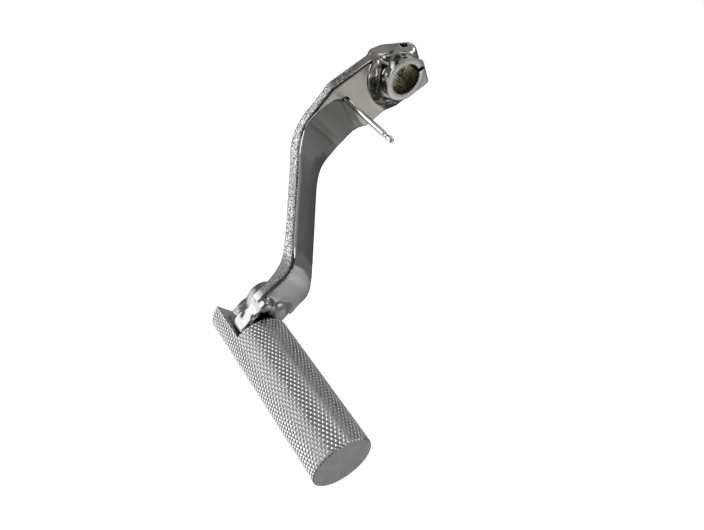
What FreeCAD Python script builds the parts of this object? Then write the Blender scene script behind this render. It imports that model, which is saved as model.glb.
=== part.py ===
"""Foot lever with a serrated clamp hub and a folding knurled foot peg.

Frame, in millimetres: the origin is on the axis of the hub's bore, half-way along the hub.
+Y runs along the bore towards the machine, so the peg stands out along -Y.
+Z runs from the peg up to the hub, and +X completes the right-handed frame.
"""
import FreeCAD, Part
import math
import os

Vec = FreeCAD.Vector

# --- driving dimensions -----------------------------------------------------------------
# hub
hub_length = 16.0            # bore length, front face of the neck to the back of the hub
hub_front = -hub_length / 2
bore_r = 6.5                 # lands of the serrated bore, for a 13 mm shaft
serrations = 36
serration_depth = 0.45
neck_r = 9.6                 # turned neck round the bore
neck_length = 3.5
pad_depth = 9.0              # flat pad beside the neck, measured back from the hub's front face
slit_width = 1.6
slit_tilt = 18.7             # degrees from +Z towards +X
ear_height = 12.2            # top of the clamp ears above the bore axis, along the slit
ear_reach = 13.6             # right ear's side face, across the slit from the bore axis
ear_bevel = 9.6              # 45 degree bevel on the back of the ears
bolt_offset = 7.2            # pinch bolt axis above the bore axis, along the slit
bolt_depth = 8.4             # pinch bolt axis behind the hub's front face
bolt_r = 1.6
# circles the swell between neck and pad passes through: (behind the front face, x, z, radius)
swell_circles = [(3.5, 0.5, 0.3, 10.9), (6.0, 2.2, 2.2, 14.2), (9.0, 5.3, 3.6, 18.8)]

# arm
arm_thickness = 5.2
pocket_depth = 1.7           # the arm's face below the hub pad, behind the pad's face
pocket_edge = -24.4          # Z where the pad ends
pocket_slope = 3.6           # height of the sloping edge below the pad
crank_top = -45.5            # Z where the arm leaves the hub's plane
crank_bottom = -83.5         # Z where it turns down again into the foot
crank_reach = 43.7           # how far the foot's bend stands out from the arm's face
foot_lean = 3.7              # the foot's lower end lies this much further back than its bend
foot_thickness = 5.6
top_bend_r = 14.0            # front of the bend below the hub
back_bend_r = 18.0           # back of the same bend
foot_bend_r = 10.0           # front of the bend above the foot
foot_web_r = 24.0            # fillet behind the foot, under the crank
foot_end = -106.2            # lowest point of the arm's foot

# foot peg
peg_r = 12.7
peg_drop = 119.4             # bore axis to peg axis
peg_tip = hub_front - 98.0   # outer flat end
peg_root = hub_front - 14.0  # inner end of the tongue
lap_wall = hub_front - 33.2  # face where the half-lap begins
lap_drop = 1.4               # lap floor below the peg axis
tip_chamfer = 0.4

# pivot
pivot_y = hub_front - 24.0
knuckle_r = 9.0
knuckle_dome = 8.0           # height of the knuckle's domed top
knuckle_top = -97.6
dome_fullness = 0.74         # share of the dome's height reached at 45 degrees round its curve
heel_reach = 12.4            # heel beside the knuckle, to the left of the pivot axis
heel_top = -103.0
stop_gap = 0.1               # heel to lap wall in the ridden position
washer_gap = 0.05            # clearance each side of a washer
thrust_thickness = 0.6
shoulder_r = 5.0
running_clearance = 0.05
washer_clearance = 0.1
bush_wall = 1.4
bush_recess = 0.1            # bush ends below the faces of the tongue
tongue_grip = 5.8            # tongue thickness that the screw's head pulls on
spring_washer_thickness = 0.8
spring_washer_gap = 0.8      # split in the spring washer
head_r = 6.5
head_height = 2.6
head_chamfer = 0.4
head_seat_r = 7.0
thread_r = 3.0
thread_length = 11.5
thread_runout = 0.5          # hole goes deeper than the thread
socket_flats = 4.0
socket_depth = 2.1
ball_r = 2.0
ball_clearance = 0.1
detent_height = 6.2          # ball centre above the lap floor
detent_travel = 0.7          # how far the ball stands out of the lap wall
groove_clearance = 0.1       # ball to the bottom of the arc groove in the knuckle
spring_wire_r = 0.3
spring_turns = 6
spring_length = 8.4
spring_hole = 13.4           # depth of the hole for ball and spring

# return-spring pin
pin_r = 1.2
pin_shank_r = 1.6            # end pressed into the arm
pin_shoulder = 0.5           # how far that end stands out of the pad
pin_reach = 32.0             # free length in front of the pad
pin_x = -8.2
pin_z = -22.6
pin_neck_r = 0.85
pin_neck_start = 3.0         # hook groove, measured from the tip
pin_neck_length = 2.2
pin_tip_round = 0.6

peg_z = -peg_drop
floor_z = peg_z - lap_drop
knuckle_base = floor_z + thrust_thickness + 2 * washer_gap
seat_z = floor_z - tongue_grip
pad_y = hub_front + pad_depth
face_y = pad_y + pocket_depth
arm_back = pad_y + arm_thickness
foot_y = face_y - crank_reach
ball_y = lap_wall + detent_travel - ball_r
ball_z = floor_z + detent_height

slit_angle = math.radians(slit_tilt)
along_slit = Vec(math.sin(slit_angle), 0, math.cos(slit_angle))
across_slit = Vec(math.cos(slit_angle), 0, -math.sin(slit_angle))
X_AXIS, Y_AXIS, Z_AXIS = Vec(1, 0, 0), Vec(0, 1, 0), Vec(0, 0, 1)


# --- helpers ----------------------------------------------------------------------------
def rounded_wire(corners):
    """Closed wire through corners, each a (point, radius) pair, with tangent arcs at the corners."""
    edges = []
    stops = []
    count = len(corners)
    for i, (point, radius) in enumerate(corners):
        before = (corners[i - 1][0] - point).normalize()
        after = (corners[(i + 1) % count][0] - point).normalize()
        half = before.getAngle(after) / 2
        if radius <= 0:
            stops.append((point, None, point))
            continue
        setback = radius / math.tan(half)
        start = point + before * setback
        end = point + after * setback
        middle = (before + after).normalize() * (radius / math.sin(half) - radius)
        stops.append((start, point + middle, end))
    for i, (start, through, end) in enumerate(stops):
        if through is not None:
            edges.append(Part.Arc(start, through, end).toShape())
        next_start = stops[(i + 1) % count][0]
        if end.distanceToPoint(next_start) > 1e-6:
            edges.append(Part.LineSegment(end, next_start).toShape())
    return Part.Wire(edges)


def front_prism(corners, y_from, y_to):
    """Solid whose outline is seen from the front; corners are (x, z, radius)."""
    wire = rounded_wire([(Vec(x, y_from, z), r) for x, z, r in corners])
    return Part.Face(wire).extrude(Vec(0, y_to - y_from, 0))


def side_prism(corners, x_from, x_to):
    """Solid whose outline is seen from the side; corners are (y, z, radius)."""
    wire = rounded_wire([(Vec(x_from, y, z), r) for y, z, r in corners])
    return Part.Face(wire).extrude(Vec(x_to - x_from, 0, 0))


def rod(radius, start, axis, length):
    return Part.makeCylinder(radius, length, start, axis)


def ring(inner, outer, z_from, z_to):
    """Washer or sleeve round the pivot axis."""
    base = Vec(0, pivot_y, z_from)
    return rod(outer, base, Z_AXIS, z_to - z_from).cut(rod(inner, base, Z_AXIS, z_to - z_from))


def circle_wire(x, z, radius, y):
    return Part.Wire([Part.makeCircle(radius, Vec(x, y, z), Y_AXIS)])


def write(node, shape):
    shape.exportStep("parts/%s.step" % node)


# --- lever ------------------------------------------------------------------------------
def turned_to_slit(shape):
    """Shape drawn with the slit along +Z, turned to the slit's real direction."""
    shape.rotate(Vec(0, 0, 0), Y_AXIS, slit_tilt)
    return shape


def hub_body():
    """Rear part of the hub, behind the pad; the outline is drawn with the slit along +Z."""
    outline = [
        (-11.4, -4.9, 2.0),
        (-9.6, 1.5, 6.0),
        (-8.7, ear_height, 3.0),
        (ear_reach, ear_height, 2.0),
        (ear_reach, 4.0, 2.5),
        (16.4, -3.8, 2.0),
        (8.0, -11.0, 5.0),
        (-4.7, -11.0, 6.0),
    ]
    return turned_to_slit(front_prism(outline, pad_y - 0.01, hub_front + hub_length))


def ears():
    """Front part of the two clamp ears, from behind the neck back to the pad's level."""
    outline = [
        (-9.3, -2.0, 1.0),
        (-9.3, 6.0, 6.0),
        (-8.7, ear_height, 3.0),
        (ear_reach, ear_height, 2.0),
        (ear_reach, 4.0, 2.5),
        (8.5, -4.0, 2.0),
    ]
    return turned_to_slit(front_prism(outline, hub_front + neck_length, pad_y))


def ear_envelope():
    """Side view of the hub across the slit: the ears' ends are bevelled at the back."""
    back = hub_front + hub_length
    outline = [
        (hub_front + neck_length, -60.0, 0),
        (hub_front + neck_length, ear_height, 0.8),
        (back - ear_bevel, ear_height, 4.0),
        (back, ear_height - ear_bevel, 4.0),
        (back, -60.0, 0),
    ]
    return turned_to_slit(side_prism(outline, -60, 60))


def hub_swell():
    """Swell that grows from the neck to the pad, with its foot off the bore axis."""
    wires = [circle_wire(x, z, radius, hub_front + depth) for depth, x, z, radius in swell_circles]
    return Part.makeLoft(wires, True, True)


def lever_outline():
    """Front outline of the cranked bar, as (x, z, corner radius)."""
    return [
        (-12.4, -1.0, 2.0),
        (-4.0, 3.0, 0),
        (12.0, 3.0, 0),
        (14.4, -9.0, 6.0),
        (9.4, -31.0, 40.0),
        (6.4, -44.0, 14.0),
        (-0.7, -56.0, 14.0),
        (-0.7, -80.5, 8.0),
        (4.4, -87.5, 8.0),
        (11.2, -94.5, 8.0),
        (12.2, foot_end, 1.5),
        (-12.6, foot_end, 1.5),
        (-13.2, -87.0, 12.0),
        (-15.8, -79.0, 12.0),
        (-15.5, -56.0, 40.0),
        (-18.7, -38.0, 20.0),
        (-19.6, -22.4, 7.0),
    ]


def lever_profile():
    """Side outline of the cranked bar, as (y, z, corner radius)."""
    run = crank_top - crank_bottom
    slope = math.atan2(crank_reach, run)
    back_top = crank_top + (arm_back - face_y) * run / crank_reach - arm_thickness / math.sin(slope)
    foot_back = foot_y + foot_thickness
    back_bottom = back_top - (arm_back - foot_back) * run / crank_reach
    return [
        (face_y, 20.0, 0),
        (face_y, crank_top, top_bend_r),
        (foot_y, crank_bottom, foot_bend_r),
        (foot_y + foot_lean, foot_end, 0),
        (foot_y + foot_lean + foot_thickness, foot_end, 0),
        (foot_back, back_bottom, foot_web_r),
        (arm_back, back_top, back_bend_r),
        (arm_back, 20.0, 0),
    ]


def hub_pad():
    """Raised pad round the hub; it ends in a slope, and a narrow rim runs on down the left edge."""
    slope_end = pocket_edge - pocket_slope
    pad = side_prism([(pad_y, 20.0, 0), (pad_y, pocket_edge, 0), (face_y + 0.2, slope_end, 0),
                      (face_y + 0.2, 20.0, 0)], -40, 40)
    rim_outline = [(-30.0, 0, 0), (-9.0, 0, 0), (-9.0, -22.0, 0), (-14.0, -23.6, 4.0),
                   (-17.0, -32.0, 12.0), (-18.0, -44.0, 0), (-30.0, -44.0, 0)]
    return pad.fuse(front_prism(rim_outline, pad_y, face_y + 0.2))


def serration_grooves():
    """One V groove for each serration, cut the full length of the bore."""
    half_width = math.pi * bore_r / serrations * 0.9 / 2
    inside = bore_r - 0.6
    corners = [Vec(inside, 0, -half_width), Vec(inside, 0, half_width), Vec(bore_r, 0, half_width),
               Vec(bore_r + serration_depth, 0, 0), Vec(bore_r, 0, -half_width)]
    grooves = []
    for i in range(serrations):
        face = Part.Face(Part.makePolygon(corners + corners[:1]))
        face.translate(Vec(0, hub_front - 1, 0))
        groove = face.extrude(Vec(0, hub_length + 2, 0))
        groove.rotate(Vec(0, 0, 0), Y_AXIS, 360.0 * i / serrations)
        grooves.append(groove)
    return grooves


def clamp_slit():
    """Slit from the bore out through the top of the ears."""
    corner = Vec(-slit_width / 2, hub_front - 1, 0)
    return turned_to_slit(Part.makeBox(slit_width, hub_length + 2, ear_height + 6, corner))


def pinch_bolt_hole():
    """Through hole across the slit; the bolt also crosses a groove in the shaft."""
    centre = along_slit * bolt_offset + Vec(0, hub_front + bolt_depth, 0)
    return rod(bolt_r, centre - across_slit * 30, across_slit, 60)


def cranked_bar():
    """The whole cranked bar, from the hub to the foot."""
    bar = side_prism(lever_profile(), -40, 40).fuse(hub_pad())
    return bar.common(front_prism(lever_outline(), -80, 40))


def hub_share():
    """Round zone inside the swell's foot: the bar's metal in it belongs to the hub."""
    depth, x, z, radius = swell_circles[-1]
    return rod(radius, Vec(x, -40, z), Y_AXIS, 80)


def hub_blank():
    """The whole clamp hub before the bore, slit and bolt hole are cut."""
    swell = hub_swell().common(front_prism(lever_outline(), -80, 40))
    body = hub_body().fuse(ears()).common(ear_envelope())
    neck = rod(neck_r, Vec(0, hub_front, 0), Y_AXIS, neck_length + 2)
    return body.fuse([swell, neck, cranked_bar().common(hub_share())]).removeSplitter()


def make_clamp_hub():
    hub = hub_blank()
    hub = hub.cut(rod(bore_r, Vec(0, hub_front - 1, 0), Y_AXIS, hub_length + 2))
    hub = hub.cut(serration_grooves())
    hub = hub.cut(clamp_slit())
    return hub.cut(pinch_bolt_hole())


def make_crank_arm():
    pin_hole = rod(pin_shank_r, Vec(pin_x, pad_y - 1, pin_z), Y_AXIS, arm_thickness + 2)
    return cranked_bar().cut([hub_share(), pin_hole, knuckle_body()]).removeSplitter()


# --- knuckle ----------------------------------------------------------------------------
def knuckle_body():
    """Barrel with a domed top; the heel on its left side is the stop for the ridden position."""
    shoulder_z = knuckle_top - knuckle_dome
    axis_low = Vec(0, pivot_y, knuckle_base)
    axis_top = Vec(0, pivot_y, knuckle_top)
    side_low = Vec(knuckle_r, pivot_y, knuckle_base)
    side_top = Vec(knuckle_r, pivot_y, shoulder_z)
    dome_middle = Vec(knuckle_r * math.sqrt(0.5), pivot_y, shoulder_z + knuckle_dome * dome_fullness)
    outline = [
        Part.LineSegment(axis_low, side_low).toShape(),
        Part.LineSegment(side_low, side_top).toShape(),
        Part.Arc(side_top, dome_middle, axis_top).toShape(),
        Part.LineSegment(axis_top, axis_low).toShape(),
    ]
    barrel = Part.Face(Part.Wire(outline)).revolve(Vec(0, pivot_y, 0), Z_AXIS, 360)
    heel_corners = [
        (Vec(-heel_reach, lap_wall + stop_gap, knuckle_base), 1.0),
        (Vec(-8.0, lap_wall + stop_gap, knuckle_base), 0),
        (Vec(0, pivot_y, knuckle_base), 0),
        (Vec(-2.0, pivot_y + 8.0, knuckle_base), 0),
        (Vec(-8.0, pivot_y + 4.5, knuckle_base), 3.0),
        (Vec(-heel_reach, pivot_y - 2.0, knuckle_base), 2.0),
    ]
    heel = Part.Face(rounded_wire(heel_corners)).extrude(Vec(0, 0, heel_top - knuckle_base))
    return barrel.fuse(heel).removeSplitter()


def detent_track():
    """Arc groove in the knuckle for the ball; its ends are the ridden and the folded position."""
    centre = Vec(0, pivot_y, ball_z)
    torus = Part.makeTorus(pivot_y - ball_y, ball_r + groove_clearance, centre, Z_AXIS)
    sector = Part.makeCylinder(30, 10, centre - Z_AXIS * 5, Z_AXIS, 110)
    sector.rotate(centre, Z_AXIS, -100)
    return torus.common(sector)


def make_knuckle():
    body = knuckle_body()
    hole = rod(thread_r, Vec(0, pivot_y, knuckle_base), Z_AXIS, thread_length + thread_runout)
    return body.cut(hole).cut(detent_track())


# --- peg --------------------------------------------------------------------------------
def make_peg():
    peg = rod(peg_r, Vec(0, peg_tip, peg_z), Y_AXIS, peg_root - peg_tip)
    peg = peg.makeChamfer(tip_chamfer, [e for e in peg.Edges if abs(e.CenterOfMass.y - peg_tip) < 0.01])
    peg = peg.cut(Part.makeBox(60, 60, 60, Vec(-30, lap_wall, floor_z)))
    bush_r = shoulder_r + running_clearance + bush_wall
    peg = peg.cut(rod(bush_r, Vec(0, pivot_y, floor_z - 20), Z_AXIS, 21))
    peg = peg.cut(rod(head_seat_r, Vec(0, pivot_y, seat_z - 20), Z_AXIS, 20))
    hole = rod(ball_r + ball_clearance, Vec(0, lap_wall + 1, ball_z), Y_AXIS * -1, spring_hole + 1)
    return peg.cut(hole)


def make_bush():
    inner = shoulder_r + running_clearance
    return ring(inner, inner + bush_wall, seat_z + bush_recess, floor_z - bush_recess)


# --- pivot hardware ---------------------------------------------------------------------
def make_pivot_screw():
    """Shoulder screw with a hexagon socket in its head, driven from below."""
    head_top = seat_z - spring_washer_thickness - 2 * washer_gap
    head_low = head_top - head_height
    head = rod(head_r, Vec(0, pivot_y, head_low), Z_AXIS, head_height)
    head = head.makeChamfer(head_chamfer, [e for e in head.Edges if abs(e.CenterOfMass.z - head_low) < 0.01])
    shoulder = rod(shoulder_r, Vec(0, pivot_y, head_top), Z_AXIS, knuckle_base - head_top)
    thread = rod(thread_r, Vec(0, pivot_y, knuckle_base), Z_AXIS, thread_length)
    corner_r = socket_flats / math.sqrt(3)
    corners = []
    for i in range(7):
        angle = math.radians(60 * i)
        corners.append(Vec(corner_r * math.cos(angle), pivot_y + corner_r * math.sin(angle), head_low))
    socket = Part.Face(Part.makePolygon(corners)).extrude(Vec(0, 0, socket_depth))
    return head.fuse([shoulder, thread]).removeSplitter().cut(socket)


def make_thrust_washer():
    low = floor_z + washer_gap
    return ring(shoulder_r + washer_clearance, knuckle_r - 0.3, low, low + thrust_thickness)


def make_spring_washer():
    high = seat_z - washer_gap
    low = high - spring_washer_thickness
    washer = ring(shoulder_r + washer_clearance, head_r - 0.2, low, high)
    split = Part.makeBox(10, spring_washer_gap, 3, Vec(0, pivot_y - spring_washer_gap / 2, high - 2))
    return washer.cut(split)


def make_detent_ball():
    return Part.makeSphere(ball_r, Vec(0, ball_y, ball_z))


def make_detent_spring():
    """Compression spring behind the ball, wound along -Y."""
    coil_r = ball_r - spring_wire_r - 0.1
    behind_ball = math.sqrt(ball_r ** 2 - coil_r ** 2) + spring_wire_r + 0.2
    helix = Part.makeHelix(spring_length / spring_turns, spring_length, coil_r)
    section = Part.Wire([Part.makeCircle(spring_wire_r, Vec(coil_r, 0, 0), Y_AXIS)])
    spring = Part.Wire(helix.Edges).makePipeShell([section], True, True)
    spring.rotate(Vec(0, 0, 0), X_AXIS, 90)
    spring.translate(Vec(0, ball_y - behind_ball, ball_z))
    return spring


def make_return_pin():
    """Plain pin pressed through the arm, necked near its tip for a spring's hook."""
    tip_y = pad_y - pin_reach
    neck_y = tip_y + pin_neck_start
    shank_y = pad_y - pin_shoulder
    pin = rod(pin_r, Vec(pin_x, tip_y, pin_z), Y_AXIS, shank_y - tip_y)
    pin = pin.fuse(rod(pin_shank_r, Vec(pin_x, shank_y, pin_z), Y_AXIS, arm_thickness + pin_shoulder))
    neck = rod(pin_r + 1, Vec(pin_x, neck_y, pin_z), Y_AXIS, pin_neck_length)
    neck = neck.cut(rod(pin_neck_r, Vec(pin_x, neck_y, pin_z), Y_AXIS, pin_neck_length))
    pin = pin.cut(neck)
    return pin.makeFillet(pin_tip_round, [e for e in pin.Edges if abs(e.CenterOfMass.y - tip_y) < 0.01])


os.makedirs("parts", exist_ok=True)
write("clamp_hub", make_clamp_hub())
write("crank_arm", make_crank_arm())
write("pivot_knuckle", make_knuckle())
write("foot_peg", make_peg())
write("pivot_bush", make_bush())
write("pivot_screw", make_pivot_screw())
write("thrust_washer", make_thrust_washer())
write("spring_washer", make_spring_washer())
write("detent_ball", make_detent_ball())
write("detent_spring", make_detent_spring())
write("return_spring_pin", make_return_pin())
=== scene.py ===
"""Looks of a foot lever with a serrated clamp hub and a folding knurled peg, built round the CAD frame.

Shapes are worked out in millimetres in the row frame and turned into metres as they become meshes.
"""

import math

import bpy
import numpy as np
from mathutils import Matrix, Vector


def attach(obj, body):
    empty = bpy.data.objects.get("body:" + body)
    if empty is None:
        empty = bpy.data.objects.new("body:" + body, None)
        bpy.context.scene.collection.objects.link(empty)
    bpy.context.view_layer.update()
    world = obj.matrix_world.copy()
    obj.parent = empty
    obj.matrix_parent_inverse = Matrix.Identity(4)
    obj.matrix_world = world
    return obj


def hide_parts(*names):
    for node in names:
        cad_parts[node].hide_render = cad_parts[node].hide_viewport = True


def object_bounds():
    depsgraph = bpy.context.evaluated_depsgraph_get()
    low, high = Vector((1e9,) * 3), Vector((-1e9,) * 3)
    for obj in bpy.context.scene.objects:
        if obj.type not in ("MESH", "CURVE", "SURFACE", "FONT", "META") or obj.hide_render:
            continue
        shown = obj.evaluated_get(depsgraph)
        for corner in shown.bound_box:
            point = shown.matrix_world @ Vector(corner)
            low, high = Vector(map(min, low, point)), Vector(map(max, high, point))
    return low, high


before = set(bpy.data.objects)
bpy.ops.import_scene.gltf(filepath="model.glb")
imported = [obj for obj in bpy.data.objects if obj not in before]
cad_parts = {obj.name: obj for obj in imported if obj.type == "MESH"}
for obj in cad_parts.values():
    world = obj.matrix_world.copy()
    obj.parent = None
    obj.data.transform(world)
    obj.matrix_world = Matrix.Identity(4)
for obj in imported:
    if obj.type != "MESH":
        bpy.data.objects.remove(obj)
cad_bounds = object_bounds()

MM = 0.001

# --- dimensions, in millimetres ---------------------------------------------------------
HUB_FRONT = -8.0
HUB_BACK = 8.0
BORE_R = 6.5
SERRATIONS = 36
SERRATION_DEPTH = 0.45
NECK_R = 9.6
NECK_LENGTH = 3.5
SLIT_HALF = 0.8
SLIT_TILT = math.radians(18.7)
EAR_HEIGHT = 12.2
BOLT_S = 7.2
BOLT_YF = 8.4
BOLT_R = 1.6
ARM_THICKNESS = 5.2
PAD_Y = HUB_FRONT + 9.0
FACE_Y = PAD_Y + 1.7
ARM_BACK = PAD_Y + ARM_THICKNESS
CRANK_TOP = -45.5
CRANK_BOTTOM = -83.5
CRANK_REACH = 43.7
CROWN_SAG = 1.1
TOP_BEND_R = 30
BACK_BEND_R = 18
FOOT_BEND_R = 14
FOOT_WEB_R = 24
FOOT_THICKNESS = 5.6
FOOT_Y = FACE_Y - CRANK_REACH
FOOT_END = -106.2
PIN_X = -8.2
PIN_Z = -22.6
PIN_R = 1.2
PIN_LENGTH = 32.0
PIT_X = -9.4
PIT_Z = -23.6
PIT_R = 2.5
PIVOT_Y = HUB_FRONT - 24.0
PEG_R = 12.7
PEG_Z = -119.4
PEG_TIP = HUB_FRONT - 98.0
PEG_ROOT = HUB_FRONT - 14.0
LAP_WALL = HUB_FRONT - 33.2
PIVOT_HOLE_R = 6.45
HEAD_RECESS_R = 7.0
FLOOR_Z = PEG_Z - 1.4
KNUCKLE_R = 9.0
DOME_HEIGHT = 8.0
KNUCKLE_BASE = FLOOR_Z + 0.7
KNUCKLE_TOP = -97.6
SEAT_Z = FLOOR_Z - 5.8


# --- mesh helpers -----------------------------------------------------------------------
def mesh_object(name, points, faces, smooth=True):
    mesh = bpy.data.meshes.new(name)
    corners = [tuple(p) for p in np.asarray(points) * MM]
    mesh.from_pydata(corners, [], [tuple(int(i) for i in f) for f in faces])
    mesh.validate()
    mesh.update()
    obj = bpy.data.objects.new(name, mesh)
    bpy.context.scene.collection.objects.link(obj)
    if smooth:
        mesh.polygons.foreach_set("use_smooth", [True] * len(mesh.polygons))
    return obj


def sharpen(obj, degrees):
    """Marks edges steeper than an angle as sharp, so that smooth shading stops at them."""
    obj.data.set_sharp_from_angle(angle=math.radians(degrees))


def apply_modifiers(obj):
    graph = bpy.context.evaluated_depsgraph_get()
    made = bpy.data.meshes.new_from_object(obj.evaluated_get(graph))
    obj.modifiers.clear()
    obj.data = made


def rounded(corners, steps=7):
    """Points of a closed outline from (u, v, radius) corners, with tangent arcs."""
    points = []
    count = len(corners)
    for i, (u, v, radius) in enumerate(corners):
        here = np.array([u, v], float)
        before = np.array(corners[i - 1][:2], float) - here
        after = np.array(corners[(i + 1) % count][:2], float) - here
        before /= np.linalg.norm(before)
        after /= np.linalg.norm(after)
        if radius <= 0:
            points.append(here)
            continue
        half = math.acos(np.clip(before @ after, -1, 1)) / 2
        start = here + before * radius / math.tan(half)
        end = here + after * radius / math.tan(half)
        bisector = before + after
        centre = here + bisector / np.linalg.norm(bisector) * radius / math.sin(half)
        for k in range(steps + 1):
            mix = start * (1 - k / steps) + end * (k / steps) - centre
            points.append(centre + mix / np.linalg.norm(mix) * radius)
    return np.array(points)


# --- signed distance fields -------------------------------------------------------------
def outline_distance(points, u, v):
    """Signed distance to a closed outline, negative inside, on a grid of u and v."""
    best = np.full(u.shape, 1e9, np.float32)
    inside = np.zeros(u.shape, bool)
    for (u0, v0), (u1, v1) in zip(points, np.roll(points, -1, axis=0)):
        du, dv = u1 - u0, v1 - v0
        t = np.clip(((u - u0) * du + (v - v0) * dv) / max(du * du + dv * dv, 1e-12), 0, 1)
        best = np.minimum(best, (u - u0 - t * du) ** 2 + (v - v0 - t * dv) ** 2)
        if v0 != v1:
            crosses = (v0 > v) != (v1 > v)
            inside ^= crosses & (u < (v - v0) * du / dv + u0)
    return np.where(inside, -np.sqrt(best), np.sqrt(best)).astype(np.float32)


def meet(a, b, r):
    """Intersection with a rounded convex edge of radius r."""
    a, b = a + r, b + r
    return np.minimum(np.maximum(a, b), 0) + np.hypot(np.maximum(a, 0), np.maximum(b, 0)) - r


def join(a, b, r):
    """Union with a concave fillet of radius r."""
    return np.maximum(np.minimum(a, b), r) - np.hypot(np.maximum(r - a, 0), np.maximum(r - b, 0))


def slab(v, low, high):
    return np.abs(v - (low + high) / 2) - (high - low) / 2


def surface(field, origin, step):
    """Quad mesh of the field's zero surface, one point in each cell it crosses."""
    solid = field < 0
    nx, ny, nz = field.shape
    total = np.zeros((nx - 1, ny - 1, nz - 1, 3), np.float32)
    count = np.zeros((nx - 1, ny - 1, nz - 1), np.float32)
    corners = [(i, j, k) for i in (0, 1) for j in (0, 1) for k in (0, 1)]
    for c in corners:
        for axis in range(3):
            if c[axis]:
                continue
            d = list(c)
            d[axis] = 1
            f0 = field[c[0]:nx - 1 + c[0], c[1]:ny - 1 + c[1], c[2]:nz - 1 + c[2]]
            f1 = field[d[0]:nx - 1 + d[0], d[1]:ny - 1 + d[1], d[2]:nz - 1 + d[2]]
            cut = (f0 < 0) != (f1 < 0)
            t = np.where(cut, f0 / np.where(cut, f0 - f1, 1), 0)
            for a in range(3):
                total[..., a] += np.where(cut, t if a == axis else c[a], 0)
            count += cut
    used = count > 0
    index = np.full(used.shape, -1, np.int64)
    index[used] = np.arange(used.sum())
    cell = np.argwhere(used)
    points = np.asarray(origin) + (cell + total[used] / count[used][:, None]) * step
    faces = []
    for axis in range(3):
        lo = [slice(1, -1)] * 3
        hi = [slice(1, -1)] * 3
        lo[axis] = slice(0, -1)
        hi[axis] = slice(1, None)
        a, b = solid[tuple(lo)], solid[tuple(hi)]
        p, q = [n for n in range(3) if n != axis]
        for flip in (False, True):
            where = np.argwhere(a & ~b) if not flip else np.argwhere(~a & b)
            base = where + 1
            base[:, axis] -= 1
            quad = []
            for dp, dq in ((-1, -1), (0, -1), (0, 0), (-1, 0)):
                g = base.copy()
                g[:, p] += dp
                g[:, q] += dq
                quad.append(index[g[:, 0], g[:, 1], g[:, 2]])
            quad = np.stack(quad, 1)
            if flip != (axis == 1):
                quad = quad[:, ::-1]
            faces.append(quad)
    return points, np.concatenate(faces)


# --- forged lever -----------------------------------------------------------------------
# Outlines are lists of (u, v, corner radius). The arm's, the pad's and the swell's are in x and z, the heel's
# in x and y, and the hub's and the ears' across and along the clamp's slit.
OUTLINE = [
    (-12.4, -1.0, 2.0), (-4.0, 3.0, 0), (12.0, 3.0, 0), (14.4, -9.0, 6.0), (9.4, -31.0, 40.0),
    (6.4, -44.0, 14.0), (-0.7, -56.0, 14.0), (-0.7, -80.5, 8.0), (4.4, -87.5, 8.0),
    (11.2, -94.5, 8.0), (12.2, FOOT_END, 1.5), (-12.6, FOOT_END, 1.5), (-13.2, -87.0, 12.0),
    (-15.8, -79.0, 12.0), (-15.5, -56.0, 40.0), (-18.7, -38.0, 20.0), (-19.6, -22.4, 7.0),
]
PAD_EDGE = [
    (-40.0, 40.0, 0), (40.0, 40.0, 0), (40.0, -27.2, 0), (8.9, -24.8, 0), (-8.5, -21.9, 3.5),
    (-14.2, -25.0, 5.0), (-16.8, -32.0, 12.0), (-18.0, -44.0, 0), (-40.0, -50.0, 0),
]
HUB_OUTLINE = [
    (-11.4, -4.9, 2.0), (-9.6, 1.5, 6.0), (-8.7, EAR_HEIGHT, 3.0), (13.6, EAR_HEIGHT, 2.0),
    (13.6, 4.0, 2.5), (16.4, -3.8, 2.0), (8.0, -11.0, 5.0), (-4.7, -11.0, 6.0),
]
EARS_OUTLINE = [
    (-9.3, -2.0, 1.0), (-9.3, 6.0, 6.0), (-8.7, EAR_HEIGHT, 3.0), (13.6, EAR_HEIGHT, 2.0),
    (13.6, 4.0, 2.5), (8.5, -4.0, 2.0),
]
SWELL_LIMIT = [(-30, -30, 0), (14.4, -30, 0), (14.4, 3, 0), (11.5, 5, 0), (-12.4, -1, 0), (-30, -20, 0)]
HEEL_OUTLINE = [
    (-12.4, LAP_WALL + 0.1, 1.0), (-8.0, LAP_WALL + 0.1, 0), (0.0, PIVOT_Y, 0),
    (-2.0, PIVOT_Y + 8.0, 0), (-8.0, PIVOT_Y + 4.5, 3.0), (-12.4, PIVOT_Y - 2.0, 2.0),
]


def bar_profile():
    """Side outline of the cranked bar, as (y, z, radius)."""
    run = CRANK_TOP - CRANK_BOTTOM
    slope = math.atan2(CRANK_REACH, run)
    back_top = CRANK_TOP + (ARM_BACK - FACE_Y) * run / CRANK_REACH - ARM_THICKNESS / math.sin(slope)
    back_bottom = back_top - (ARM_BACK - FOOT_Y - FOOT_THICKNESS) * run / CRANK_REACH
    return [
        (FACE_Y + 1.4, 20, 0), (FACE_Y + 1.4, -24, 6), (FACE_Y - 0.3, CRANK_TOP + 0.3, TOP_BEND_R),
        (FOOT_Y, CRANK_BOTTOM, FOOT_BEND_R), (FOOT_Y + 3.7, FOOT_END, 0), (FOOT_Y + 9.3, FOOT_END, 0),
        (FOOT_Y + FOOT_THICKNESS, back_bottom, FOOT_WEB_R), (ARM_BACK, back_top, BACK_BEND_R),
        (ARM_BACK, 20, 0),
    ]


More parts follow.
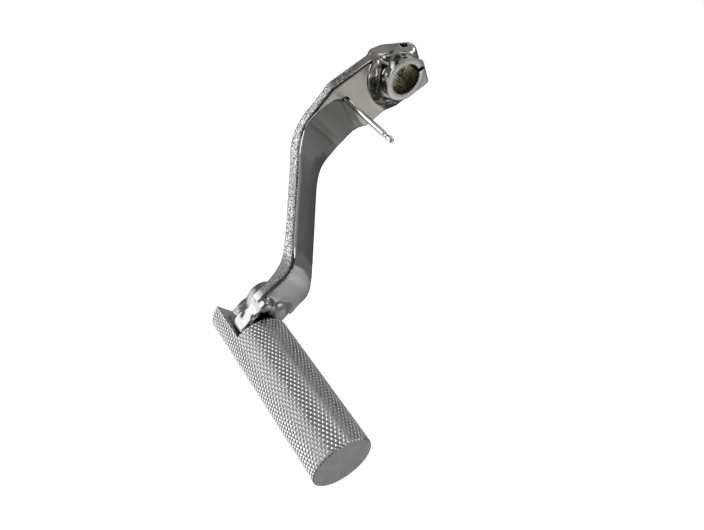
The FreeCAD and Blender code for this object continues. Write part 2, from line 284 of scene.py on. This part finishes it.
def crowned(profile, x, y, z):
    """The side outline's field with the bar's front face falling away towards its right edge."""
    middle = np.interp(z, [-106, -95, -82, -56, -44, -30, 0], [-9, -9, -8.5, -8, -6, -4, 0])
    width = np.interp(z, [-106, -90, -82], [15, 14, 9])
    share = np.interp(z, [-106, -100, -50, -36], [0.6, 1, 1, 0])
    sag = CROWN_SAG * np.clip((x - middle) / width, 0, 1.4) ** 2 * share
    step = y[0, 1, 0] - y[0, 0, 0]
    place = (y - sag - y[0, 0, 0]) / step
    low = np.clip(np.floor(place).astype(int), 0, y.shape[1] - 2)
    part = (place - low).astype(np.float32)
    rows = np.arange(z.shape[2])[None, None, :]
    return profile[0][low, rows] * (1 - part) + profile[0][low + 1, rows] * part


def lever_field(x, y, z):
    """Signed distance of the whole forging; x, y and z are grids that broadcast together."""
    yf = y - HUB_FRONT
    b = x * math.cos(SLIT_TILT) - z * math.sin(SLIT_TILT)
    s = x * math.sin(SLIT_TILT) + z * math.cos(SLIT_TILT)
    outline = outline_distance(rounded(OUTLINE), *np.broadcast_arrays(x, z))
    profile = crowned(outline_distance(rounded(bar_profile()), *np.broadcast_arrays(y, z)), x, y, z)
    bar = meet(outline, profile, 1.5)

    edge = outline_distance(rounded(PAD_EDGE), *np.broadcast_arrays(x, z))
    lean = 0.5 + 1.1 * np.clip((x + 10) / 14, 0, 1)
    pad = (edge - (y - PAD_Y) * lean) / np.sqrt(1 + lean ** 2)
    pad = meet(pad, slab(y, PAD_Y, PAD_Y + 3.5), 0.5)
    pad = meet(pad, outline, 1.5)
    body = np.maximum(join(bar, pad, 1.2), outline)

    hub = meet(outline_distance(rounded(HUB_OUTLINE), b, s), slab(y, PAD_Y - 1.5, HUB_BACK - 0.03), 1.2)
    ears = meet(outline_distance(rounded(EARS_OUTLINE), b, s), slab(yf, NECK_LENGTH, 14),
                np.interp(b, [-1.5, 1.5], [5.0, 1.2]).astype(np.float32))
    hub = join(hub, ears, 1.0)
    hub = meet(hub, (yf + s - 18.6) / math.sqrt(2), 2.5)
    body = join(body, hub, 2.0)

    levels = [2.6, 3.6, 4.6, 6.0, 7.5, 9.0, 10.0]
    centre_x = np.interp(yf, levels, [0.3, 0.5, 1.1, 2.2, 3.8, 5.3, 6.0])
    centre_z = np.interp(yf, levels, [0.2, 0.4, 1.1, 2.0, 2.9, 3.6, 3.8])
    radius = np.interp(yf, levels, [9.0, 10.4, 12.6, 14.9, 17.1, 18.8, 19.6])
    swell = (np.hypot(x - centre_x, z - centre_z) - radius) * 0.6
    swell = meet(swell, slab(yf, 3.0, 11.0), 0.5)
    swell = meet(swell, outline_distance(rounded(SWELL_LIMIT), *np.broadcast_arrays(x, z)), 1.5)
    body = join(body, swell, 0.9)

    bore = np.hypot(x, z)
    neck = meet(bore - (NECK_R - 0.15), slab(yf, 0.35, 9), 0.6)
    body = join(body, neck, 0.5)
    pit = np.hypot(np.hypot(x - PIT_X, z - PIT_Z), (y - PAD_Y) * 0.7) - PIT_R
    body = np.maximum(body, -pit)
    seam = np.hypot(bore - (NECK_R + 0.25), yf - (NECK_LENGTH - 0.1)) - 0.5
    body = np.maximum(body, -seam)

    rho = np.hypot(x, y - PIVOT_Y)
    shoulder = KNUCKLE_TOP - DOME_HEIGHT
    above = np.maximum(z - shoulder, 0) / DOME_HEIGHT
    dome = (np.sqrt((rho / KNUCKLE_R) ** 2 + above ** 2) - 1) * DOME_HEIGHT
    knuckle = meet(dome, KNUCKLE_BASE - z, 0.4)
    heel = outline_distance(rounded(HEEL_OUTLINE), *np.broadcast_arrays(x, y))
    waist = 1.4 * np.exp(-((z + 109.5) / 3.0) ** 2)
    heel = meet(heel + waist, slab(z, KNUCKLE_BASE, -101.0), 3.2)
    body = join(body, join(knuckle, heel, 2.4), 1.1)

    wave = (np.sin(0.75 * x + 0.35 * z + 1.0) * np.sin(0.6 * y - 0.55 * z)
            + 0.5 * np.sin(0.9 * y + 0.5 * x - 0.3 * z))
    on_swell = (np.clip((bore - NECK_R - 0.4) / 1.5, 0, 1) * np.clip((20 - bore) / 3, 0, 1)
                * np.clip((9.0 - yf) / 2.5, 0, 1) * np.clip((5 - s) / 6, 0, 1))
    on_knuckle = (np.clip((-103 - z) / 3, 0, 1) * np.clip((z - KNUCKLE_BASE - 1.0) / 1.5, 0, 1)
                  * np.clip((y - LAP_WALL - 1.0) / 1.5, 0, 1) * np.clip((-2 - x) / 4, 0, 1))
    body = body + wave * (0.2 * on_swell + 0.3 * on_knuckle)

    body = np.maximum(body, BORE_R + 0.7 - bore)
    body = np.maximum(body, -np.maximum(np.abs(b) - SLIT_HALF, -s))
    hole = np.hypot(s - BOLT_S, yf - BOLT_YF) - BOLT_R
    body = np.maximum(body, -hole)
    track_r = PIVOT_Y - (LAP_WALL + 0.7 - 2.0)
    groove = np.hypot(rho - track_r, z - (FLOOR_Z + 6.2)) - 2.1
    swept = np.where((y < PIVOT_Y + 4) & (x > -2.6), groove, 9)
    return np.maximum(body, -swept)


def build_lever():
    step = 0.42
    low = np.array([-21.0, -43.5, -121.5])
    high = np.array([18.5, 9.5, 15.0])
    counts = np.ceil((high - low) / step).astype(int) + 1
    x, y, z = [(low[a] + step * np.arange(counts[a])).astype(np.float32) for a in range(3)]
    field = lever_field(x[:, None, None], y[None, :, None], z[None, None, :]).astype(np.float32)
    points, faces = surface(field, low, step)
    lever = mesh_object("forged_lever", points, faces)
    smooth = lever.modifiers.new("smooth", "SMOOTH")
    smooth.factor = 0.5
    smooth.iterations = 4
    apply_modifiers(lever)
    return lever


def build_bore_sleeve():
    """Turned front ring with the serrated bore behind it, open at the clamp's slit."""
    per_tooth = 4
    ring = []
    for i in range(SERRATIONS * per_tooth):
        angle = 2 * math.pi * i / (SERRATIONS * per_tooth)
        away = (angle - SLIT_TILT + math.pi) % (2 * math.pi) - math.pi
        if abs(away) > SLIT_HALF / BORE_R * 0.98:
            ring.append((angle, i % per_tooth, away))
    ring.sort(key=lambda item: item[2] % (2 * math.pi))
    first = SLIT_HALF / BORE_R
    ring = [(SLIT_TILT + first, 0, first)] + ring + [(SLIT_TILT - first, 0, -first)]
    depth = [0.0, 0.45, 1.0, 0.45]
    length = HUB_BACK - HUB_FRONT
    # (radius, depth behind the front face, share of the serration's depth)
    section = [
        (BORE_R, length - 0.05, 1), (BORE_R, 0.4, 1), (BORE_R + 0.12, 0.06, 0.8), (BORE_R + 0.3, 0.0, 0.6),
        (NECK_R - 0.45, 0.0, 0), (NECK_R - 0.12, 0.12, 0), (NECK_R, 0.5, 0),
        (NECK_R, NECK_LENGTH + 0.6, 0), (BORE_R + 1.2, NECK_LENGTH + 0.6, 0),
        (BORE_R + 1.2, length - 0.35, 0), (BORE_R + 0.6, length - 0.05, 1),
    ]
    points, faces = [], []
    rows = len(section)
    for angle, tooth, away in ring:
        for radius, back, share in section:
            r = radius + SERRATION_DEPTH * depth[tooth] * share
            turn = angle
            if abs(away) <= first + 1e-6:
                turn = SLIT_TILT + math.copysign(math.asin(SLIT_HALF / r), away)
            points.append((r * math.sin(turn), HUB_FRONT + back, r * math.cos(turn)))
    for i in range(len(ring) - 1):
        for k in range(rows):
            n = (k + 1) % rows
            faces.append((i * rows + k, i * rows + n, (i + 1) * rows + n, (i + 1) * rows + k))
    faces.append(list(range(rows))[::-1])
    faces.append([(len(ring) - 1) * rows + k for k in range(rows)])
    obj = mesh_object("bore_sleeve", points, faces)
    sharpen(obj, 24)
    return obj


# --- knurled peg ------------------------------------------------------------------------
KNURL_STARTS = 46
KNURL_PITCH = 2.9
KNURL_DEPTH = 0.42
END_RINGS = (12.1, 11.6, 9.0, 5.0)


def build_peg():
    around = KNURL_STARTS * 8
    row = KNURL_PITCH / 8
    turn = np.arange(around) * 2 * math.pi / around
    chamfer = 0.5
    ys = [PEG_TIP + chamfer]
    while ys[-1] + row < PEG_ROOT - chamfer:
        ys.append(ys[-1] + row)
    ys.append(PEG_ROOT - chamfer)

    def ridge(phase):
        return 1 - np.abs((phase % 1.0) * 2 - 1)

    def ring_at(r, y):
        return np.stack([r * np.sin(turn), np.full(around, y), PEG_Z + r * np.cos(turn)], 1)

    points = []
    for y in ys:
        a = ridge(turn * KNURL_STARTS / (2 * math.pi) + y / KNURL_PITCH)
        c = ridge(turn * KNURL_STARTS / (2 * math.pi) - y / KNURL_PITCH)
        height = np.minimum(np.minimum(a, c) * 1.35, 1.0)
        r = PEG_R - KNURL_DEPTH * (1 - height)
        points.append(ring_at(r, y))
    tip = [ring_at(r, PEG_TIP) for r in END_RINGS]
    root = [ring_at(r, PEG_ROOT) for r in END_RINGS]
    rows = tip[::-1] + points + root
    faces = []
    ring = np.arange(around)
    nxt = (ring + 1) % around
    for i in range(len(rows) - 1):
        here, above = i * around, (i + 1) * around
        faces.append(np.stack([here + ring, here + nxt, above + nxt, above + ring], 1))
    faces = [tuple(f) for f in np.concatenate(faces)]
    faces.append(tuple(ring[::-1]))
    faces.append(tuple((len(rows) - 1) * around + ring))
    peg = mesh_object("knurled_peg", np.concatenate(rows), faces)

    def cutter(name, pts, fcs):
        obj = mesh_object(name, pts, fcs, smooth=False)
        mod = peg.modifiers.new(name, "BOOLEAN")
        mod.operation = "DIFFERENCE"
        mod.solver = "EXACT"
        mod.object = obj
        return obj

    low, high = (-20.0, LAP_WALL, FLOOR_Z), (20.0, LAP_WALL + 40, FLOOR_Z + 40)
    box = [(x, y, z) for x in (low[0], high[0]) for y in (low[1], high[1]) for z in (low[2], high[2])]
    box_faces = [(0, 1, 3, 2), (4, 6, 7, 5), (0, 4, 5, 1), (2, 3, 7, 6), (0, 2, 6, 4), (1, 5, 7, 3)]
    cut = [cutter("lap_cutter", box, box_faces)]
    steps = 96
    angle = np.arange(steps) * 2 * math.pi / steps
    rings = [(HEAD_RECESS_R, SEAT_Z - 20), (HEAD_RECESS_R, SEAT_Z),
             (PIVOT_HOLE_R, SEAT_Z), (PIVOT_HOLE_R, FLOOR_Z + 3)]
    pts = np.concatenate([np.stack([r * np.cos(angle), PIVOT_Y + r * np.sin(angle), np.full(steps, z)], 1)
                          for r, z in rings])
    fcs = [tuple(range(steps))[::-1], tuple(3 * steps + k for k in range(steps))]
    for i in range(3):
        fcs += [(i * steps + k, i * steps + (k + 1) % steps, (i + 1) * steps + (k + 1) % steps,
                 (i + 1) * steps + k) for k in range(steps)]
    cut.append(cutter("pivot_cutter", pts, fcs))
    apply_modifiers(peg)
    for obj in cut:
        bpy.data.objects.remove(obj)
    sharpen(peg, 28)
    return peg


def build_pin():
    """Pressed-in spring pin: a shank with shallow turned rings, a hook neck and a rounded tip."""
    tip = PAD_Y - PIN_LENGTH
    ring_depth = 0.1
    ring_pitch = 0.55
    section = [(0.0, tip), (0.5, tip + 0.02), (0.85, tip + 0.18), (1.08, tip + 0.5), (1.15, tip + 1.0),
               (1.15, tip + 2.75), (1.08, tip + 3.0), (0.86, tip + 3.2), (0.85, tip + 5.0),
               (1.05, tip + 5.25), (PIN_R, tip + 5.5)]
    y = tip + 6.2
    k = 0
    while y < PAD_Y - 0.3:
        section.append((PIN_R - ring_depth * (k % 2), y))
        y += ring_pitch
        k += 1
    section += [(PIN_R, PAD_Y - 0.1), (PIN_R, PAD_Y + 5.0), (0.0, PAD_Y + 5.1)]
    steps = 40
    points, faces = [], []
    for r, y in section:
        for n in range(steps):
            a = 2 * math.pi * n / steps
            points.append((PIN_X + r * math.cos(a), y, PIN_Z + r * math.sin(a)))
    for i in range(len(section) - 1):
        for n in range(steps):
            m = (n + 1) % steps
            faces.append((i * steps + n, i * steps + m, (i + 1) * steps + m, (i + 1) * steps + n))
    obj = mesh_object("spring_pin", points, faces)
    mod = obj.modifiers.new("weld", "WELD")
    mod.merge_threshold = 1e-6
    apply_modifiers(obj)
    return obj


# --- materials --------------------------------------------------------------------------
def new_material(name):
    mat = bpy.data.materials.new(name)
    mat.use_nodes = True
    tree = mat.node_tree
    return mat, tree, tree.nodes["Principled BSDF"]


def node(tree, kind, inputs=None, **props):
    n = tree.nodes.new(kind)
    for key, value in props.items():
        setattr(n, key, value)
    for key, value in (inputs or {}).items():
        if isinstance(value, bpy.types.NodeSocket):
            tree.links.new(value, n.inputs[key])
        else:
            n.inputs[key].default_value = value
    return n


def noise(tree, coord, scale, detail=3.0, rough=0.5, distortion=0.0):
    return node(tree, "ShaderNodeTexNoise", {"Vector": coord, "Scale": scale, "Detail": detail,
                                             "Roughness": rough, "Distortion": distortion}).outputs["Fac"]


def remap(tree, value, lo, hi, out_lo, out_hi):
    return node(tree, "ShaderNodeMapRange", {"Value": value, "From Min": lo, "From Max": hi,
                                             "To Min": out_lo, "To Max": out_hi},
                interpolation_type="SMOOTHSTEP").outputs["Result"]


def maths(tree, operation, a, b=0.0, clamp=False):
    return node(tree, "ShaderNodeMath", {0: a, 1: b}, operation=operation, use_clamp=clamp).outputs[0]


def mix_colour(tree, fac, a, b):
    n = node(tree, "ShaderNodeMix", data_type="RGBA")
    for key, value in ((0, fac), (6, a), (7, b)):
        if isinstance(value, bpy.types.NodeSocket):
            tree.links.new(value, n.inputs[key])
        else:
            n.inputs[key].default_value = value
    return n.outputs[2]


def bump(tree, height, strength, distance, normal=None):
    inputs = {"Height": height, "Strength": strength, "Distance": distance}
    if normal is not None:
        inputs["Normal"] = normal
    return node(tree, "ShaderNodeBump", inputs).outputs["Normal"]


def object_coords(tree):
    coord = node(tree, "ShaderNodeTexCoord").outputs["Object"]
    parts = node(tree, "ShaderNodeSeparateXYZ", {"Vector": coord})
    return coord, parts.outputs[0], parts.outputs[1], parts.outputs[2]


def from_axis(tree, x, z):
    """Distance from an axis along y, for x and z measured from it."""
    flat = node(tree, "ShaderNodeCombineXYZ", {0: x, 1: 0.0, 2: z}).outputs[0]
    return node(tree, "ShaderNodeVectorMath", {0: flat}, operation="LENGTH").outputs["Value"]


def slit_mask(tree, x, z):
    """1 between the walls of the clamp's slit, and 0 elsewhere; the materials use it to paint shade into the
    slit.
    """
    across = maths(tree, "SUBTRACT", maths(tree, "MULTIPLY", x, math.cos(SLIT_TILT)),
                   maths(tree, "MULTIPLY", z, math.sin(SLIT_TILT)))
    return maths(tree, "MULTIPLY", remap(tree, maths(tree, "ABSOLUTE", across), 0.00082, 0.00098, 1.0, 0.0),
                 remap(tree, z, 0.0, 0.001, 0.0, 1.0))


def forging_material():
    """Plated forging: polished on the hub and knuckle, satin on flat faces, rough on the trimmed edge, with
    painted shade and painted reflections in places.
    """
    mat, tree, bsdf = new_material("polished_forging")
    coord, x, y, z = object_coords(tree)
    normal = node(tree, "ShaderNodeNewGeometry").outputs["Normal"]
    nx = node(tree, "ShaderNodeSeparateXYZ", {"Vector": normal})
    facing_left = remap(tree, maths(tree, "MULTIPLY", nx.outputs[0], -1.0), 0.6, 0.84, 0.0, 1.0)
    below_hub = remap(tree, z, -0.016, -0.004, 1.0, 0.0)
    above_foot = remap(tree, z, -0.104, -0.1, 0.0, 1.0)
    rough_edge = maths(tree, "MULTIPLY", maths(tree, "MULTIPLY", facing_left, below_hub), above_foot)
    painted_slit_shade = slit_mask(tree, x, z)
    satin_front = remap(tree, maths(tree, "MULTIPLY", nx.outputs[1], -1.0), 0.93, 0.985, 0.0, 1.0)
    cloud = noise(tree, coord, 60.0, 3.0, 0.55)
    fine = noise(tree, coord, 900.0, 2.0, 0.6)
    pits = noise(tree, coord, 1800.0, 2.0, 0.7)
    roughness = maths(tree, "ADD", remap(tree, satin_front, 0, 1, 0.075, 0.33),
                      remap(tree, cloud, 0.3, 0.7, -0.03, 0.05))
    roughness = maths(tree, "ADD", roughness, maths(tree, "MULTIPLY", rough_edge, 0.18))
    on_dome = maths(tree, "MULTIPLY", remap(tree, z, -0.099, -0.096, 1.0, 0.0),
                    remap(tree, x, -0.006, -0.003, 0.0, 1.0))
    roughness = maths(tree, "ADD", roughness, maths(tree, "MULTIPLY", on_dome, 0.22))
    tree.links.new(roughness, bsdf.inputs["Roughness"])
    warm = remap(tree, z, -0.034, -0.022, 0.0, 1.0)
    light = mix_colour(tree, warm, (0.6, 0.615, 0.6, 1), (0.66, 0.63, 0.585, 1))
    deep = mix_colour(tree, warm, (0.54, 0.555, 0.54, 1), (0.6, 0.575, 0.53, 1))
    tone = mix_colour(tree, remap(tree, cloud, 0.35, 0.65, 0.0, 1.0), deep, light)
    # Painted shade: the recess between the heel and the knuckle's dome is coloured near black, and so are the
    # walls of the clamp's slit.
    painted_heel_shade = maths(tree, "MULTIPLY", remap(tree, z, -0.1075, -0.104, 1.0, 0.0),
                  maths(tree, "MULTIPLY", remap(tree, x, -0.0095, -0.0075, 0.0, 1.0),
                        remap(tree, x, -0.0035, -0.001, 1.0, 0.0)))
    tone = mix_colour(tree, maths(tree, "MAXIMUM", painted_heel_shade, painted_slit_shade), tone, (0.035, 0.034, 0.03, 1))
    # Painted shade: front faces in the pocket below the pad are darkened, most strongly near its top under
    # the pad's step.
    facing_front = maths(tree, "MULTIPLY", nx.outputs[1], -1.0)
    painted_pocket_shade = maths(tree, "MULTIPLY", remap(tree, y, 0.0013, 0.0024, 0.0, 1.0),
                   maths(tree, "MULTIPLY", remap(tree, facing_front, 0.8, 0.95, 0, 1),
                         remap(tree, z, -0.05, -0.029, 0.1, 1.0)))
    tone = mix_colour(tree, maths(tree, "MULTIPLY", painted_pocket_shade, 0.8), tone, (0.13, 0.135, 0.115, 1))
    # Painted reflections: dark patches are coloured onto the hub's swell, standing in for the dark areas it
    # reflects.
    on_swell = maths(tree, "MULTIPLY", remap(tree, from_axis(tree, x, z), 0.0185, 0.0195, 1.0, 0.0),
                     maths(tree, "MULTIPLY", remap(tree, y, 0.0, 0.0009, 1.0, 0.0),
                           remap(tree, z, 0.004, 0.009, 1.0, 0.0)))
    painted_swell_reflections = remap(tree, noise(tree, coord, 210.0, 1.5, 0.4, 0.6), 0.49, 0.56, 1.0, 0.0)
    on_swell = maths(tree, "MULTIPLY", on_swell, maths(tree, "SUBTRACT", 1.0, satin_front))
    tone = mix_colour(tree, maths(tree, "MULTIPLY", on_swell, painted_swell_reflections), tone, (0.11, 0.108, 0.1, 1))
    speck = remap(tree, pits, 0.44, 0.56, 0.0, 1.0)
    edge_tone = mix_colour(tree, speck, (0.11, 0.112, 0.11, 1), (0.74, 0.745, 0.735, 1))
    # Painted shade: the speckled side wall is coloured darker on the foot, below the crank's bottom bend.
    painted_flare_shade = mix_colour(tree, speck, (0.09, 0.09, 0.087, 1), (0.21, 0.213, 0.206, 1))
    edge_tone = mix_colour(tree, remap(tree, z, -0.088, -0.08, 1.0, 0.0), edge_tone, painted_flare_shade)
    tree.links.new(mix_colour(tree, rough_edge, tone, edge_tone), bsdf.inputs["Base Color"])
    bsdf.inputs["Metallic"].default_value = 1.0
    soft = bump(tree, cloud, 0.12, 0.0012)
    grain = bump(tree, fine, 0.05, 0.0002, soft)
    rough = bump(tree, pits, maths(tree, "MULTIPLY", rough_edge, 0.55), 0.00035, grain)
    tree.links.new(rough, bsdf.inputs["Normal"])
    return mat


def ring_material():
    """Turned face of the neck and the dark, oily bore, with painted reflections on the neck's side and
    painted shade in the clamp's slit.
    """
    mat, tree, bsdf = new_material("turned_ring")
    coord, x, y, z = object_coords(tree)
    radius = from_axis(tree, x, z)
    inside = maths(tree, "MULTIPLY", remap(tree, radius, 0.0073, 0.0075, 1.0, 0.0),
                   remap(tree, y, (HUB_FRONT + 0.04) * MM, (HUB_FRONT + 0.3) * MM, 0.0, 1.0))
    painted_slit_shade = slit_mask(tree, x, z)
    cloud = noise(tree, coord, 220.0, 3.0)
    face = mix_colour(tree, cloud, (0.72, 0.72, 0.7, 1), (0.8, 0.8, 0.78, 1))
    dirt = mix_colour(tree, remap(tree, noise(tree, coord, 700.0, 3.0), 0.35, 0.65, 0, 1),
                      (0.13, 0.115, 0.08, 1), (0.38, 0.34, 0.26, 1))
    # Painted reflections: the neck's outer side is coloured in black and light blotches, standing in for what
    # it reflects.
    painted_neck_reflections = mix_colour(tree, remap(tree, noise(tree, coord, 420.0, 2.0), 0.46, 0.58, 0, 1),
                        (0.05, 0.05, 0.048, 1), (0.62, 0.62, 0.6, 1))
    neck_side = maths(tree, "MULTIPLY", remap(tree, radius, 0.0093, 0.0095, 0.0, 1.0),
                      remap(tree, y, (HUB_FRONT + 0.15) * MM, (HUB_FRONT + 0.6) * MM, 0.0, 1.0))
    face = mix_colour(tree, neck_side, face, painted_neck_reflections)
    coloured = mix_colour(tree, inside, face, dirt)
    # Painted shade: the walls of the clamp's slit are coloured near black.
    tree.links.new(mix_colour(tree, painted_slit_shade, coloured, (0.03, 0.028, 0.025, 1)), bsdf.inputs["Base Color"])
    rough = maths(tree, "ADD", remap(tree, cloud, 0.3, 0.7, 0.28, 0.38),
                  maths(tree, "MULTIPLY", inside, 0.05))
    tree.links.new(rough, bsdf.inputs["Roughness"])
    bsdf.inputs["Metallic"].default_value = 1.0
    phase = maths(tree, "MULTIPLY", radius, 42000.0)
    rings = node(tree, "ShaderNodeMath", {0: phase}, operation="SINE").outputs[0]
    tree.links.new(bump(tree, rings, 0.06, 0.00005), bsdf.inputs["Normal"])
    return mat


def peg_material():
    """Bright plating with the knurl's grooves coloured darker than its tips; the sawn ends are satin."""
    mat, tree, bsdf = new_material("knurled_chrome")
    coord, x, y, z = object_coords(tree)
    radius = from_axis(tree, x, maths(tree, "SUBTRACT", z, PEG_Z * MM))
    groove = remap(tree, radius, (PEG_R - 0.4) * MM, (PEG_R - 0.12) * MM, 1.0, 0.0)
    on_side = remap(tree, radius, 0.01215, 0.01225, 0.0, 1.0)
    end = maths(tree, "MAXIMUM", remap(tree, y, (PEG_TIP + 0.1) * MM, (PEG_TIP + 0.5) * MM, 1.0, 0.0),
                remap(tree, y, (PEG_ROOT - 0.5) * MM, (PEG_ROOT - 0.1) * MM, 0.0, 1.0))
    cloud = noise(tree, coord, 300.0, 3.0)
    blotch = noise(tree, coord, 45.0, 2.0)
    bright = mix_colour(tree, cloud, (0.85, 0.86, 0.86, 1), (0.98, 0.98, 0.97, 1))
    dark = mix_colour(tree, cloud, (0.3, 0.31, 0.31, 1), (0.5, 0.5, 0.49, 1))
    side = mix_colour(tree, maths(tree, "MULTIPLY", groove, on_side), bright, dark)
    sawn = mix_colour(tree, blotch, (0.47, 0.485, 0.475, 1), (0.54, 0.555, 0.54, 1))
    tree.links.new(mix_colour(tree, end, side, sawn), bsdf.inputs["Base Color"])
    rough = maths(tree, "ADD", remap(tree, cloud, 0.3, 0.7, 0.14, 0.26), maths(tree, "MULTIPLY", end, 0.14))
    rough = maths(tree, "ADD", rough, remap(tree, radius, 0.0119, 0.0121, 0.2, 0.0))
    tree.links.new(rough, bsdf.inputs["Roughness"])
    bsdf.inputs["Metallic"].default_value = 1.0
    grain = bump(tree, noise(tree, coord, 3000.0, 2.0), 0.1, 0.0001)
    tree.links.new(grain, bsdf.inputs["Normal"])
    return mat


def steel_material(name, low, high, rough_low, rough_high, scale=400.0):
    mat, tree, bsdf = new_material(name)
    coord = object_coords(tree)[0]
    grain = noise(tree, coord, scale, 4.0, 0.6)
    tree.links.new(mix_colour(tree, grain, low + (1,), high + (1,)), bsdf.inputs["Base Color"])
    tree.links.new(remap(tree, grain, 0.3, 0.7, rough_low, rough_high), bsdf.inputs["Roughness"])
    bsdf.inputs["Metallic"].default_value = 1.0
    tree.links.new(bump(tree, noise(tree, coord, scale * 5, 2.0), 0.1, 0.0001), bsdf.inputs["Normal"])
    return mat


def give(obj, mat):
    obj.data.materials.clear()
    obj.data.materials.append(mat)


def give_node(name, mat):
    for material_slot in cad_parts[name].material_slots:
        material_slot.material = mat


# --- stage ------------------------------------------------------------------------------
BASE_GLOW = 0.19
DARKEST = 0.02
# Bright and dark areas of the studio: direction, half angle and soft edge in degrees, and strength.
LIGHTS = [
    ((0.73, -0.68, -0.05), 10, 10, 0.52),
    ((0.72, -0.55, -0.42), 8, 13, 0.42),
    ((0.88, 0.06, 0.48), 12, 12, -0.10),
    ((-0.42, -0.88, 0.12), 22, 7, -0.45),
    ((0.33, -0.84, 0.43), 7, 5, -0.45),
    ((0.05, -0.9, -0.4), 16, 8, -0.4),
    ((-0.4, -0.1, 0.9), 10, 8, -0.25),
    ((0.02, -0.7, 0.71), 15, 5, 1.7),
    ((-0.3, -0.3, 0.9), 6, 5, 0.6),
    ((-0.74, 0.62, -0.22), 19, 12, 1.4),
    ((-0.1, 0.0, 1.0), 20, 50, 0.14),
    ((-0.2, 0.38, 0.9), 8, 8, 0.75),
    ((-0.79, -0.4, 0.52), 5, 4, 1.6),
    ((-0.08, 0.55, -0.83), 26, 20, 1.15),
    ((0.12, -0.97, -0.2), 6, 4, 1.7),
    ((-0.2, -0.6, -0.77), 5, 4, 1.8),
]


def build_studio():
    """A large glowing shell, unseen by the camera, that gives soft light with bright and dark areas."""
    mat = bpy.data.materials.new("studio_glow")
    mat.use_nodes = True
    tree = mat.node_tree
    tree.nodes.clear()
    where = node(tree, "ShaderNodeTexCoord").outputs["Object"]
    unit = node(tree, "ShaderNodeVectorMath", {0: where}, operation="NORMALIZE").outputs["Vector"]
    total = BASE_GLOW
    for direction, inner, soft, strength in LIGHTS:
        d = Vector(direction).normalized()
        dot = node(tree, "ShaderNodeVectorMath", {0: unit, 1: d}, operation="DOT_PRODUCT").outputs["Value"]
        outside = math.cos(math.radians(inner + soft))
        inside = math.cos(math.radians(inner))
        lobe = remap(tree, dot, outside, inside, 0.0, strength)
        total = maths(tree, "ADD", lobe, total)
    total = maths(tree, "MAXIMUM", total, DARKEST)
    glow = node(tree, "ShaderNodeEmission", {"Color": (1, 1, 0.985, 1), "Strength": total})
    out = node(tree, "ShaderNodeOutputMaterial", {"Surface": glow.outputs[0]})
    bpy.ops.mesh.primitive_ico_sphere_add(subdivisions=4, radius=3.0, location=(0, 0, 0))
    shell = bpy.context.object
    shell.name = "studio_shell"
    give(shell, mat)
    shell.visible_camera = False
    shell.visible_shadow = False

    world = bpy.data.worlds.new("studio")
    bpy.context.scene.world = world
    world.use_nodes = True
    world.node_tree.nodes["Background"].inputs["Color"].default_value = (1, 1, 1, 1)
    world.node_tree.nodes["Background"].inputs["Strength"].default_value = 1.0

    floor_mat, _, bsdf = new_material("pale_floor")
    bsdf.inputs["Base Color"].default_value = (0.9, 0.9, 0.89, 1)
    bsdf.inputs["Roughness"].default_value = 0.8
    bsdf.inputs["Emission Color"].default_value = (1, 1, 1, 1)
    bsdf.inputs["Emission Strength"].default_value = 0.85
    bpy.ops.mesh.primitive_plane_add(size=60.0, location=(0, 0, cad_bounds[0][2] - 0.012))
    floor = bpy.context.object
    floor.name = "pale_floor"
    give(floor, floor_mat)
    floor.visible_glossy = False


def build_camera():
    data = bpy.data.cameras.new("camera")
    data.sensor_width = 36.0
    data.lens = 34.77
    camera = bpy.data.objects.new("camera", data)
    bpy.context.scene.collection.objects.link(camera)
    right = Vector((0.5177, -0.5433, 0.6610))
    up = Vector((-0.2858, 0.6184, 0.7321))
    back = -Vector((0.8066, 0.5678, -0.1648))
    turn = Matrix((right, up, back)).transposed().to_4x4()
    place = Vector((-0.2162, -0.1946 + HUB_FRONT * MM, -0.0246))
    camera.matrix_world = Matrix.Translation(place) @ turn
    bpy.context.scene.camera = camera


# --- assembly ---------------------------------------------------------------------------
build_camera()
build_studio()

lever = build_lever()
give(lever, forging_material())
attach(lever, "lever")
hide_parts("clamp_hub", "crank_arm", "pivot_knuckle")

sleeve = build_bore_sleeve()
give(sleeve, ring_material())
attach(sleeve, "lever")

peg = build_peg()
give(peg, peg_material())
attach(peg, "peg")
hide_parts("foot_peg")

pin = build_pin()
give(pin, steel_material("pin_steel", (0.75, 0.75, 0.74), (0.97, 0.97, 0.95), 0.07, 0.2))
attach(pin, "lever")
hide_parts("return_spring_pin")

hardware = steel_material("hardware_steel", (0.4, 0.4, 0.4), (0.55, 0.55, 0.54), 0.25, 0.42)
for name in ("pivot_screw", "thrust_washer", "spring_washer", "detent_ball"):
    give_node(name, hardware)
give_node("detent_spring", steel_material("spring_steel", (0.2, 0.2, 0.21), (0.32, 0.32, 0.33), 0.3, 0.45))
give_node("pivot_bush", steel_material("bush_bronze", (0.42, 0.28, 0.12), (0.6, 0.43, 0.22), 0.3, 0.5))

bpy.context.scene.view_settings.view_transform = "Standard"
bpy.context.view_layer.update()
